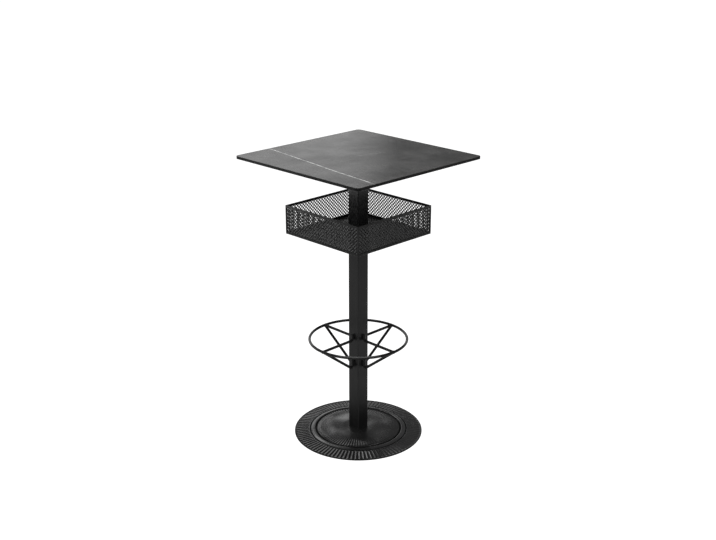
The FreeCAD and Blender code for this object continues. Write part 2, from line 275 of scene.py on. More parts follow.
def turned_surface(profile, columns, centre=(0, 0)):
    """A (radius, height) profile turned about an upright axis: x and y are the radius times the cosine
    and the sine of the angle."""
    angle = np.linspace(0, 2 * np.pi, columns, endpoint=False)
    radius, height = profile[:, :1], profile[:, 1:]
    x = centre[0] + radius * np.cos(angle)
    y = centre[1] + radius * np.sin(angle)
    return np.stack([x, y, np.broadcast_to(height, x.shape)], axis=-1)


def bent_path(start, corner, end, bend_radius):
    """A straight run, an arc that touches both runs, and a second straight run, with their tangents.

    The arc leaves the first run at the bend radius times the tangent of half the turn before the
    corner; after an angle it has gone the radius times its sine along the run, and the radius times
    one minus its cosine to the side.
    """
    first = (corner - start) / np.linalg.norm(corner - start)
    second = (end - corner) / np.linalg.norm(end - corner)
    turn = np.arccos(first @ second)
    side = second - first * (first @ second)
    side = side / np.linalg.norm(side)
    angle = np.linspace(0, turn, bend_steps)[:, None]
    arc_start = corner - first * bend_radius * np.tan(turn / 2)
    arc = arc_start + bend_radius * (np.sin(angle) * first + (1 - np.cos(angle)) * side)
    path = np.vstack([start, arc, end])
    tangent = np.vstack([first, np.cos(angle) * first + np.sin(angle) * side, second])
    return path, tangent


def rod_surface(path, tangent, radius):
    """A circle carried along a path in the upright plane x = 0, across the tangent at each point.

    Both ends are cut square with a small chamfer: the ring before the end keeps the full radius, the
    end ring is smaller by the chamfer, and the last one closes to a point.
    """
    def end_rows(point, along):
        inner = point - along * rod_end_chamfer
        return np.array([inner, point, point]), np.array([radius, radius - rod_end_chamfer, 0])

    head_path, head_radius = end_rows(path[0], -tangent[0])
    tail_path, tail_radius = end_rows(path[-1], tangent[-1])
    line = np.vstack([head_path[::-1], path[1:-1], tail_path])
    along = np.vstack([np.repeat(tangent[:1], 3, 0), tangent[1:-1], np.repeat(tangent[-1:], 3, 0)])
    size = np.concatenate([head_radius[::-1], np.full(len(path) - 2, radius), tail_radius])
    across = np.array([1.0, 0.0, 0.0])
    normal = np.cross(along, across)
    turn = np.linspace(0, 2 * np.pi, rod_sides, endpoint=False)[:, None]
    circle = np.cos(turn) * normal[:, None] + np.sin(turn) * across
    return line[:, None] + size[:, None, None] * circle


def weld_collar(place, along, tube_radius, rod_radius):
    """The bead where a rod meets the ring's tube, as a ripple-thick cord along the line where they cross.

    The tube runs along x through the place. Round the rod by an angle, the line is the rod's radius
    away from the rod's axis and as far along it as leaves it on the tube: the root of the tube's radius
    squared less the height across the tube squared, or nothing where the rod is as high as the tube.
    """
    across = np.array([1.0, 0.0, 0.0])
    up = np.cross(along, across)
    angle = np.linspace(0, 2 * np.pi, collar_points_per_ripple * weld_ripples_round, endpoint=False)
    angle = angle[:, None, None]
    turn = np.linspace(0, 2 * np.pi, weld_sides, endpoint=False)[None, :, None]
    out = np.cos(angle) * across + np.sin(angle) * up
    reach = np.sqrt(np.maximum(tube_radius ** 2 - (rod_radius * np.sin(angle)) ** 2, 0))
    line = place + rod_radius * out + reach * along
    thick = weld_radius * (1 + weld_ripple * np.cos(weld_ripples_round * angle))
    return line + thick * (np.cos(turn) * out + np.sin(turn) * along)


def weld_seam(low, high):
    """A bead along an upright line: a circle whose radius swells from nothing at both ends with the fourth
    root of the sine of the way along, and ripples with a cosine."""
    length = high[2] - low[2]
    share = np.linspace(0, 1, seam_points_per_ripple * int(length / seam_ripple_pitch) + 1)
    swell = np.clip(np.sin(np.pi * share), 0, 1) ** seam_end_power
    ripple = 1 + weld_ripple * np.cos(2 * np.pi * share * length / seam_ripple_pitch)
    turn = np.linspace(0, 2 * np.pi, weld_sides, endpoint=False)
    radius = (weld_radius * swell * ripple)[:, None]
    x = low[0] + radius * np.cos(turn)
    y = low[1] + radius * np.sin(turn)
    return np.stack([x, y, np.broadcast_to((low[2] + share * length)[:, None], x.shape)], axis=-1)


def mesh_sheet(width, height):
    """One sheet of expanded mesh as rings of points about its diamond gaps, in (across, out, up).

    The gaps sit on two crossed lattices, half a pitch apart. Round a gap by an angle, the outer ring lies on
    the diamond that fills the lattice, |across|/half pitch + |up|/half pitch = 1, and the inner ring on a
    smaller one with rounded sides, the same sum with both terms raised to a power. The inner ring's upper
    side leans out and its lower side in, as strands do that were slit and drawn. Gaps on the edge of the
    sheet are cut off straight, with a strand left along the edge.
    """
    pitch = np.array([width / mesh_columns, height / mesh_rows])
    limit = np.array([width, height]) / 2
    even = np.stack(np.meshgrid(np.arange(mesh_columns + 1), np.arange(mesh_rows + 1)), axis=-1)
    odd = np.stack(np.meshgrid(np.arange(mesh_columns), np.arange(mesh_rows)), axis=-1) + 0.5
    centres = np.vstack([even.reshape(-1, 2), odd.reshape(-1, 2)]) * pitch - limit
    angle = np.linspace(0, 2 * np.pi, mesh_gap_points, endpoint=False)
    ray = np.stack([np.cos(angle), np.sin(angle)], axis=-1)

    def diamond(half, power):
        return ray / (np.abs(ray / half) ** power).sum(axis=-1, keepdims=True) ** (1 / power)

    half = pitch / 2
    slant = np.hypot(*pitch)
    gap_half = half - mesh_strand / 2 * slant / pitch[::-1]
    outer = np.clip(centres[:, None] + diamond(half, 1), -limit, limit)
    inside = limit - mesh_edge_strand
    inner = np.clip(centres[:, None] + diamond(gap_half, mesh_gap_bulge), -inside, inside)
    lean = np.broadcast_to(mesh_tilt * np.sin(angle), inner.shape[:2])
    outer = np.stack([outer[..., 0], np.zeros_like(lean), outer[..., 1]], axis=-1)
    inner = np.stack([inner[..., 0], -lean, inner[..., 1]], axis=-1)
    return np.stack([inner, outer], axis=1)


def base_outline():
    """The casting's turned outline as (radius, height), from the middle of the hub out to the foot of the
    rim. Straight runs are joined by short rounds. The ridge rises from its inner groove in a quarter circle,
    and falls from its crest to its outer groove in a longer arc that starts level."""
    crest = ridge_inside + ridge_round
    turn = np.linspace(0, np.pi / 2, ridge_round_steps)
    inner_side = np.stack([crest - ridge_round * np.cos(turn),
                           ridge_height - ridge_round * (1 - np.sin(turn))], axis=-1)
    reach, fall = ridge_outside - crest, ridge_height - outer_groove_height
    arc_radius = (reach ** 2 + fall ** 2) / (2 * fall)
    out = np.linspace(0, reach, ridge_fall_steps)[1:]
    outer_side = np.stack([crest + out,
                           ridge_height - arc_radius + np.sqrt(arc_radius ** 2 - out ** 2)], axis=-1)
    disc_slope = (base_high.z - disc_edge_height) / (disc_edge - hub_radius)
    disc = np.append(disc_rows, disc_edge - np.array(disc_edge_rows))
    disc = np.stack([disc, base_high.z - disc_slope * (disc - hub_radius)], axis=-1)
    band_end = base_high.x - rim_width
    band_slope = (band_height - rim_height) / (band_end - band_inside)
    band = np.append(band_rows, band_end - band_inside - np.array(band_end_rows))
    band = np.stack([band_inside + band, band_height - band_slope * band], axis=-1)
    hub = [[0, base_high.z]] + [[hub_radius + past, base_high.z - drop] for past, drop in hub_edge_rows]
    step = [[disc_edge - cast_round / 3, disc_edge_height - cast_round / 4],
            [disc_edge, disc_edge_height - cast_round],
            [disc_edge, inner_groove_height + cast_round / 2],
            [disc_edge + cast_round / 2, inner_groove_height],
            [ridge_inside - cast_round / 2, inner_groove_height],
            [ridge_inside, inner_groove_height + cast_round / 2]]
    outer_step = [[band_inside - cast_round / 2, outer_groove_height],
                  [band_inside, outer_groove_height + cast_round / 2],
                  [band_inside, band_height - cast_round / 2]]
    rim = [[band_end, rim_height],
           [band_end + cast_round, rim_height],
           [base_high.x - cast_round, rim_height],
           [base_high.x - cast_round / 3, rim_height - cast_round / 3],
           [base_high.x, rim_height - cast_round],
           [base_high.x, base_low.z + cast_round],
           [base_high.x - cast_round, base_low.z]]
    return np.vstack([hub, disc, step, inner_side, outer_side, outer_step, band, rim])


def smooth_step(value, start, end):
    """Zero before start, one after end, and three squares less two cubes of the way between."""
    share = np.clip((value - start) / (end - start), 0, 1)
    return share * share * (3 - 2 * share)


def base_top():
    """The casting's upper surface: the outline turned about the axis, with two bands of radial flutes.

    An outer flute is a groove between flat lands: its depth falls from the middle with the square of the
    distance across it. An inner flute is a cosine wave that runs out towards the hub. Both fade in and out
    over a few millimetres at their ends.
    """
    turn = (np.arange(outer_flute_count)[:, None] + flute_points) / outer_flute_count
    turn = turn.reshape(-1) * 2 * np.pi
    outline = base_outline()
    radius, height = outline[:, :1], outline[:, 1:]

    start = band_inside + outer_flute_margin
    end = base_high.x - rim_width
    pitch = 2 * np.pi * np.maximum(radius, start) / outer_flute_count
    groove_half = (1 - outer_flute_land / pitch) / 2
    across = np.tile(flute_points - 0.5, outer_flute_count) / groove_half
    along = smooth_step(radius, start - outer_flute_rise_before, start + outer_flute_rise_after)
    along = along * (1 - smooth_step(radius, end - outer_flute_run_out, end))
    outer = outer_flute_depth * along * np.clip(1 - across ** 2, 0, 1)

    edge = disc_edge - inner_flute_margin
    wave = (1 - np.cos(inner_flute_count * turn)) / 2
    along = smooth_step(radius, inner_flute_start, inner_flute_full)
    along = along * (1 - smooth_step(radius, edge - inner_flute_fall_before, edge + inner_flute_fall_after))
    inner = inner_flute_depth * along * wave

    x, y = radius * np.cos(turn), radius * np.sin(turn)
    return np.stack([x, y, height - outer - inner], axis=-1)


# Meshes

def grid_shell(points, rows_close=False):
    """Points and quads of a grid whose columns close on themselves, and whose rows may close too."""
    rows, columns = points.shape[:2]
    index = np.arange(rows * columns).reshape(rows, columns)
    if rows_close:
        index = np.vstack([index, index[:1]])
    after = np.roll(index, -1, axis=1)
    quads = np.stack([index[:-1], after[:-1], after[1:], index[1:]], axis=-1)
    return points.reshape(-1, 3), quads.reshape(-1, 4)


def ring_shells(points):
    """Points and quads of many small two-row rings at once, as grid_shell does for one."""
    count, rows, columns = points.shape[:3]
    index = np.arange(count * rows * columns).reshape(count, rows, columns)
    after = np.roll(index, -1, axis=2)
    quads = np.stack([index[:, :-1], after[:, :-1], after[:, 1:], index[:, 1:]], axis=-1)
    return points.reshape(-1, 3), quads.reshape(-1, 4)


def quarter_turned(points, quarters):
    """Points turned about the table's axis by quarter turns: a turn sends x, y to -y, x."""
    for _ in range(quarters):
        points = np.stack([-points[..., 1], points[..., 0], points[..., 2]], axis=-1)
    return points


def make_piece(name, shells, finishes, nodes, closed=True, sharp=sharp_angle):
    """One object from (points, faces) shells, with doubled points merged at seams and poles.

    finishes is one material, or a list with one for each shell. The piece rides on the pedestal and
    stands for the CAD nodes that are named. Edges sharper than so many degrees shade sharp.
    """
    if not isinstance(finishes, list):
        finishes = [finishes] * len(shells)
    worn = list(dict.fromkeys(finishes))
    offset = np.cumsum([0] + [len(points) for points, _ in shells])
    vertices = np.vstack([points for points, _ in shells])
    faces = [face for (_, block), start in zip(shells, offset) for face in (block + start).tolist()]
    mesh = bpy.data.meshes.new(name)
    mesh.from_pydata(vertices.tolist(), [], faces)
    finish_index = np.repeat([worn.index(finish) for finish in finishes], [len(block) for _, block in shells])
    mesh.polygons.foreach_set("material_index", finish_index)
    work = bmesh.new()
    work.from_mesh(mesh)
    bmesh.ops.remove_doubles(work, verts=work.verts, dist=seam_merge)
    bmesh.ops.dissolve_degenerate(work, edges=work.edges, dist=sliver_merge)
    if closed:
        bmesh.ops.recalc_face_normals(work, faces=work.faces)
    work.to_mesh(mesh)
    work.free()
    mesh.polygons.foreach_set("use_smooth", np.ones(len(mesh.polygons), dtype=bool))
    mesh.set_sharp_from_angle(angle=math.radians(sharp))
    for finish in worn:
        mesh.materials.append(finish)
    made = bpy.data.objects.new(name, mesh)
    bpy.context.scene.collection.objects.link(made)
    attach(made, PEDESTAL)
    if nodes:
        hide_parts(*nodes)
    return made


# Materials

def node(tree, kind, inputs=None, **options):
    """Adds a shader node, sets its options, and sets or links its inputs by name or number."""
    made = tree.nodes.new("ShaderNode" + kind)
    for option, value in options.items():
        setattr(made, option, value)
    for key, value in (inputs or {}).items():
        if isinstance(value, bpy.types.NodeSocket):
            tree.links.new(value, made.inputs[key])
        else:
            made.inputs[key].default_value = value
    return made


def sum_up(tree, operation, first, second=0.0, third=0.0):
    """The result of one sum with up to three numbers, each a value or a socket."""
    return node(tree, "Math", {0: first, 1: second, 2: third}, operation=operation).outputs[0]


def fade(tree, value, start, end, low=0.0, high=1.0):
    """low before start, high after end, and a smooth step between them."""
    inputs = {"Value": value, "From Min": start, "From Max": end, "To Min": low, "To Max": high}
    return node(tree, "MapRange", inputs, interpolation_type="SMOOTHSTEP").outputs[0]


def place(tree):
    """Where on the object a point is, in metres."""
    return node(tree, "TexCoord").outputs["Object"]


def grain(tree, scale, detail=3.0, roughness=0.5, stretch=(1, 1, 1), distortion=0.0, shift=(0, 0, 0)):
    """Noise with so many waves to a metre, stretched along the axes and shifted."""
    spot = node(tree, "Mapping", {"Vector": place(tree), "Location": shift, "Scale": stretch}).outputs[0]
    inputs = {"Vector": spot, "Scale": scale, "Detail": detail, "Roughness": roughness,
              "Distortion": distortion}
    return node(tree, "TexNoise", inputs).outputs[0]


def tint(tree, share, first, second):
    """A colour between two, by a share."""
    return node(tree, "Mix", {0: share, 6: first, 7: second}, data_type="RGBA").outputs[2]


def grey(value, warmth=0.0):
    """A grey with its red raised and its blue lowered by a share, the warmth."""
    return (value * (1 + warmth), value, value * (1 - warmth), 1.0)


def worn_edge(tree, width, breakup_scale):
    """One on edges, broken up by noise: where the normal of a bevelled edge leaves the true normal."""
    bevel = node(tree, "Bevel", {"Radius": width}, samples=4).outputs[0]
    normal = node(tree, "NewGeometry").outputs["Normal"]
    match = node(tree, "VectorMath", {0: bevel, 1: normal}, operation="DOT_PRODUCT").outputs["Value"]
    edge = fade(tree, match, 0.995, 0.86)
    return sum_up(tree, "MULTIPLY", edge, fade(tree, grain(tree, breakup_scale, 4.0), 0.46, 0.64))


def wear(tree, colour, width, breakup_scale, share, bare):
    """The colour, worn on the edges towards a bare one by a share of worn_edge."""
    worn = sum_up(tree, "MULTIPLY", worn_edge(tree, width, breakup_scale), share)
    return tint(tree, worn, colour, bare)


def bump(tree, height, strength, distance):
    """A normal tilted by the slope of a height."""
    return node(tree, "Bump", {"Height": height, "Strength": strength, "Distance": distance}).outputs[0]


def new_finish(name, metallic=0.0, specular=0.5, coat=0.0, coat_roughness=0.1):
    """A material with one principled shader, whose even values are set on its own sockets."""
    finish = bpy.data.materials.new(name)
    finish.use_nodes = True
    tree = finish.node_tree
    shader = tree.nodes["Principled BSDF"]
    shader.inputs["Metallic"].default_value = metallic
    shader.inputs["Specular IOR Level"].default_value = specular
    shader.inputs["Coat Weight"].default_value = coat
    shader.inputs["Coat Roughness"].default_value = coat_roughness
    return finish, tree, shader


def dress(tree, shader, colour, roughness, normal):
    """Links a finish's colour, roughness and normal to its shader."""
    tree.links.new(colour, shader.inputs["Base Color"])
    tree.links.new(roughness, shader.inputs["Roughness"])
    tree.links.new(normal, shader.inputs["Normal"])


def vein(tree, start, end, half_width, wander, waves, patch_low):
    """A pale line on the top from start to end: strongest on its middle line, which wanders to the side
    with noise along it, and patchy along its length."""
    run = np.subtract(end, start)
    length = float(np.hypot(*run))
    along_axis = (run[0] / length, run[1] / length, 0)
    side_axis = (-along_axis[1], along_axis[0], 0)
    spot = node(tree, "VectorMath", {0: place(tree), 1: (*start, 0)}, operation="SUBTRACT").outputs[0]
    along = node(tree, "VectorMath", {0: spot, 1: along_axis}, operation="DOT_PRODUCT").outputs["Value"]
    side = node(tree, "VectorMath", {0: spot, 1: side_axis}, operation="DOT_PRODUCT").outputs["Value"]

    def noise_along(scale, detail):
        inputs = {"W": along, "Scale": scale, "Detail": detail}
        return node(tree, "TexNoise", inputs, noise_dimensions="1D").outputs[0]

    shift = sum_up(tree, "MULTIPLY_ADD", noise_along(waves, 3.0), wander, -wander / 2)
    off = sum_up(tree, "ABSOLUTE", sum_up(tree, "SUBTRACT", side, shift))
    line = fade(tree, off, half_width, 0.0)
    patch = fade(tree, noise_along(9 * waves, 4.0), 0.38, 0.62, patch_low, 1.0)
    ends = sum_up(tree, "MULTIPLY", fade(tree, along, 0.0, 0.08 * length),
                  fade(tree, along, length, 0.92 * length))
    return sum_up(tree, "MULTIPLY", sum_up(tree, "MULTIPLY", line, patch), ends)


def stone_laminate():
    """Dark stone-look laminate: clouds, mottle and specks, faint streaks, and two pale veins."""
    finish, tree, shader = new_finish("stone_laminate", specular=0.3)
    cloud = fade(tree, grain(tree, 9.0, 5.0, 0.55), 0.35, 0.65)
    colour = tint(tree, cloud, grey(0.012, 0.01), grey(0.060, 0.012))
    mottle = fade(tree, grain(tree, 110.0, 3.0), 0.35, 0.65, 0.0, 0.4)
    colour = tint(tree, mottle, colour, grey(0.052, 0.012))
    speck = fade(tree, grain(tree, 420.0, 2.0), 0.62, 0.78, 0.0, 0.35)
    colour = tint(tree, speck, colour, grey(0.09))
    streak = grain(tree, 1.0, 4.0, 0.55, (34.0, 7.0, 1.0), 0.6)
    streak = sum_up(tree, "ABSOLUTE", sum_up(tree, "SUBTRACT", streak, 0.5))
    colour = tint(tree, fade(tree, streak, 0.012, 0.0, 0.0, 0.16), colour, grey(0.30))
    colour = tint(tree, vein(tree, *main_vein), colour, grey(0.75))
    short = sum_up(tree, "MULTIPLY", vein(tree, *short_vein), short_vein_strength)
    colour = tint(tree, short, colour, grey(0.34))
    colour = wear(tree, colour, 0.0012, 60.0, 0.30, grey(0.22))
    roughness = fade(tree, grain(tree, 14.0, 4.0), 0.25, 0.75, 0.20, 0.27)
    relief = bump(tree, grain(tree, 1500.0, 3.0), 0.05, 0.0002)
    dress(tree, shader, colour, roughness, relief)
    return finish


def laminate_core():
    """The board's black core where it shows along the edge: dull, with faint layers."""
    finish, tree, shader = new_finish("laminate_core", specular=0.05)
    layers = grain(tree, 1.0, 2.0, 0.5, (20.0, 20.0, 900.0))
    colour = tint(tree, layers, grey(0.004), grey(0.010))
    colour = wear(tree, colour, 0.0010, 60.0, 0.20, grey(0.06))
    roughness = fade(tree, grain(tree, 200.0, 3.0), 0.25, 0.75, 0.45, 0.60)
    relief = bump(tree, layers, 0.10, 0.0002)
    dress(tree, shader, colour, roughness, relief)
    return finish


def black_powder_coat(name, specular, smoothest=0.30, highlit_corner_half=None, patchy_light_grey=None, highlit_tread_radius=None):
    """Satin black powder coat: a fine pebbled skin, a little thinner and greyer on the edges.

    Given the half width of an upright square tube, its four rounded corners are painted a lighter grey: a
    painted highlight. Given a grey, the coat is lightened towards it in patches: painted light. Given the
    radius of a foot ring with spokes along X and Y, its upper side between the spokes is painted a lighter
    grey: partly wear where feet rest on it, partly a painted highlight.
    """
    finish, tree, shader = new_finish(name, specular=specular)
    cloud = fade(tree, grain(tree, 9.0, 4.0), 0.3, 0.7)
    colour = tint(tree, cloud, grey(0.0105), grey(0.0155))
    speck = fade(tree, grain(tree, 1300.0, 1.0), 0.62, 0.74, 0.0, 0.5)
    colour = tint(tree, speck, colour, grey(0.026))
    colour = wear(tree, colour, 0.0010, 90.0, 0.5, grey(0.060))
    # The four rounded corners painted a lighter grey: a painted highlight
    if highlit_corner_half:
        away = node(tree, "VectorMath", {0: place(tree)}, operation="ABSOLUTE").outputs[0]
        away = node(tree, "SeparateXYZ", {0: away}).outputs
        corner = sum_up(tree, "MINIMUM", away["X"], away["Y"])
        painted_highlight = fade(tree, corner, highlit_corner_half - corner_highlight_start, highlit_corner_half - corner_highlight_full, 0.0, 0.8)
        colour = tint(tree, painted_highlight, colour, grey(0.034))
    # Patches painted a lighter grey: painted light
    if patchy_light_grey:
        painted_light_patches = fade(tree, grain(tree, 70.0, 4.0, 0.6), 0.35, 0.65, 0.4, 1.0)
        colour = tint(tree, painted_light_patches, colour, grey(patchy_light_grey))
    # The upper side between the spokes painted a lighter grey: partly wear where feet rest, partly a painted
    # highlight
    if highlit_tread_radius:
        spot = node(tree, "SeparateXYZ", {0: place(tree)}).outputs
        between = sum_up(tree, "ABSOLUTE", sum_up(tree, "MULTIPLY", spot["X"], spot["Y"]))
        between = fade(tree, between, tread_highlight_start * highlit_tread_radius ** 2, tread_highlight_full * highlit_tread_radius ** 2)
        facing = node(tree, "SeparateXYZ", {0: node(tree, "NewGeometry").outputs["Normal"]}).outputs["Z"]
        painted_highlight = sum_up(tree, "MULTIPLY", between, fade(tree, facing, 0.3, 0.8))
        colour = tint(tree, painted_highlight, colour, grey(0.13))
    roughness = fade(tree, grain(tree, 22.0, 4.0), 0.25, 0.75, smoothest, smoothest + 0.10)
    relief = bump(tree, grain(tree, 1100.0, 2.0), 0.16, 0.00025)
    dress(tree, shader, colour, roughness, relief)
    return finish


def painted_casting(name, specular):
    """Black paint on cast iron: a slightly uneven gloss over a cast skin that swells softly, most on the
    disc, and greyer on the ridges."""
    finish, tree, shader = new_finish(name, specular=specular)
    cloud = fade(tree, grain(tree, 16.0, 5.0, 0.6), 0.3, 0.7)
    colour = tint(tree, cloud, grey(0.010), grey(0.017))
    colour = wear(tree, colour, 0.0009, 70.0, 0.45, grey(0.07))
    roughness = fade(tree, grain(tree, 26.0, 4.0, 0.55), 0.3, 0.7, 0.18, 0.28)
    skin = bump(tree, grain(tree, 650.0, 3.0), 0.10, 0.0004)
    spread = node(tree, "VectorMath", {0: place(tree)}, operation="LENGTH").outputs["Value"]
    share = fade(tree, spread, swell_less_radius, swell_full_radius, swell_less_share, 1.0)
    lumps = sum_up(tree, "MULTIPLY", grain(tree, swell_waves, 0.0, shift=swell_shift), share)
    inputs = {"Height": lumps, "Strength": 1.0, "Distance": swell_depth, "Normal": skin}
    dress(tree, shader, colour, roughness, node(tree, "Bump", inputs).outputs[0])
    return finish


def matte_skirt_and_painted_shade():
    """Thin dull paint over a rough cast skin, darker than the gloss paint: the casting's own finish on its
    underside and in its pockets, and painted shade on its rim, in its grooves and on one wall of each outer
    flute."""
    finish, tree, shader = new_finish("matte_skirt_and_painted_shade", specular=0.05)
    colour = tint(tree, fade(tree, grain(tree, 40.0, 4.0), 0.3, 0.7), grey(0.005), grey(0.011))
    colour = wear(tree, colour, 0.0008, 80.0, 0.25, grey(0.06))
    roughness = fade(tree, grain(tree, 90.0, 3.0), 0.3, 0.7, 0.55, 0.75)
    relief = bump(tree, grain(tree, 420.0, 4.0), 0.30, 0.0005)
    dress(tree, shader, colour, roughness, relief)
    return finish


def zinc_plate():
    """Zinc-plated steel: bright, with a faint spangle and duller edges."""
    finish, tree, shader = new_finish("zinc_plate", metallic=1.0)
    spangle = fade(tree, grain(tree, 180.0, 3.0), 0.3, 0.7)
    colour = tint(tree, spangle, (0.50, 0.51, 0.53, 1), (0.64, 0.65, 0.66, 1))
    colour = wear(tree, colour, 0.0006, 300.0, 0.6, (0.36, 0.36, 0.37, 1))
    roughness = fade(tree, grain(tree, 420.0, 3.0), 0.3, 0.7, 0.26, 0.42)
    relief = bump(tree, grain(tree, 2400.0, 2.0, 0.5, (1, 1, 0.2)), 0.10, 0.0001)
    dress(tree, shader, colour, roughness, relief)
    return finish


def turned_brass():
    """Turned brass with fine rings of tool marks along its length, and duller edges."""
    finish, tree, shader = new_finish("turned_brass", metallic=1.0)
    cloud = fade(tree, grain(tree, 160.0, 3.0), 0.3, 0.7)
    colour = tint(tree, cloud, (0.52, 0.37, 0.15, 1), (0.66, 0.49, 0.22, 1))
    colour = wear(tree, colour, 0.0005, 300.0, 0.5, (0.40, 0.28, 0.11, 1))
    roughness = fade(tree, grain(tree, 300.0, 3.0), 0.3, 0.7, 0.24, 0.36)
    relief = bump(tree, grain(tree, 60.0, 1.0, 0.5, (1, 1, 60)), 0.12, 0.0001)
    dress(tree, shader, colour, roughness, relief)
    return finish


def moulded_nylon():
    """Black moulded nylon, scuffed pale on its edges."""
    finish, tree, shader = new_finish("moulded_nylon", specular=0.4)
    colour = tint(tree, fade(tree, grain(tree, 120.0, 3.0), 0.3, 0.7), grey(0.014), grey(0.022))
    colour = wear(tree, colour, 0.0010, 220.0, 0.6, grey(0.09))
    roughness = fade(tree, grain(tree, 240.0, 3.0), 0.3, 0.7, 0.42, 0.58)
    relief = bump(tree, grain(tree, 1800.0, 3.0), 0.18, 0.0002)
    dress(tree, shader, colour, roughness, relief)
    return finish


laminate = stone_laminate()
core = laminate_core()
# The column's rounded corners carry a painted highlight
column_coat = black_powder_coat("column_powder_coat", 0.10, highlit_corner_half=column_high.x)
rod_coat = black_powder_coat("rod_powder_coat", 0.08)
# The foot ring's upper side between the spokes carries a painted highlight, partly also wear
ring_coat = black_powder_coat("ring_powder_coat", 0.08, highlit_tread_radius=ring_high.x)
# The basket's floor is painted lighter in patches: painted light
sheet_coat = black_powder_coat("sheet_powder_coat", 0.25, smoothest=0.18, patchy_light_grey=0.14)
powder_coat = black_powder_coat("frame_powder_coat", 0.25)
casting = painted_casting("painted_casting", 0.8)
disc_paint = painted_casting("painted_disc", 0.48)
# Dark dull paint: the casting's underside, and painted shade on its rim, grooves and flute walls
skirt_and_shade_paint = matte_skirt_and_painted_shade()
finish_of_slot = {
    "top_laminate": laminate, "powder_black": powder_coat, "cast_black": casting,
    "zinc_steel": zinc_plate(), "brass": turned_brass(), "nylon_black": moulded_nylon(),
}
finish_of_node = {"basket_floor": sheet_coat}
for subpart in frame["record"]["subparts"]:
    kept = frame["nodes"][subpart["node"]]
    kept.data.materials.clear()
    kept.data.materials.append(finish_of_node.get(subpart["node"], finish_of_slot[subpart["material_slot"]]))


# Top and column

def lay_top():
    """The board: its slab profile carried round the square, cut into underside, edge and upper side."""
    half = top_high.x
    board = square_hoop(slab_profile(half, top_low.z, top_high.z, top_edge_radius), half, top_corner_radius)
    below, above = edge_steps, len(board) - edge_steps
    shells = [grid_shell(board[:below + 1]), grid_shell(board[below:above]), grid_shell(board[above - 1:])]
    make_piece("top_board", shells, [laminate, core, laminate], ["table_top"])


def stand_column():
    """The square tube: its wall's section carried round the square."""
    half = column_high.x
    low = (0, -half, column_low.z)
    high = (0, -half + column_wall, column_high.z)
    profile = bar_profile(low, high, half, column_end_radius)
    tube = square_hoop(profile, half, column_corner_radius)
    make_piece("column_post", [grid_shell(tube, True)], column_coat, ["column_tube"])


# Basket

def frame_basket():
    """The upper and lower hoops, each one bar's section carried round the square, and the corner posts."""
    half = -rim_low.y
    for name, low, high in (("rim", rim_low, rim_high), ("sill", sill_low, sill_high)):
        profile = bar_profile(low, high, half, bar_edge_radius)
        hoop = square_hoop(profile, half, basket_corner_radius)
        nodes = [name + "_" + side for side in SIDES]
        make_piece("basket_" + name, [grid_shell(hoop, True)], rod_coat, nodes)
    for corner in CORNERS:
        low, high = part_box("post_" + corner)
        post = upright_bar((low + high) / 2, (high.x - low.x) / 2, low.z, high.z)
        nodes = ["post_" + corner]
        make_piece("basket_post_" + corner, [grid_shell(post)], rod_coat, nodes)


def hang_mesh():
    """The four panels: the flat sheet moved to the front panel's middle, given the mesh's thickness, and
    turned by quarter turns."""
    width = mesh_high.x - mesh_low.x + 2 * mesh_overlap
    height = mesh_high.z - mesh_low.z + 2 * mesh_overlap
    middle = np.array((mesh_low + mesh_high) / 2)
    sheet = mesh_sheet(width, height) + middle
    for quarter, side in enumerate(SIDES):
        shell = ring_shells(quarter_turned(sheet, quarter))
        panel = make_piece("basket_mesh_" + side, [shell], powder_coat, ["mesh_" + side],
                           False, mesh_sharp_angle)
        thicken = panel.modifiers.new("mesh_thickness", "SOLIDIFY")
        thicken.thickness = mesh_high.y - mesh_low.y
        thicken.offset = 0.0


# Foot ring

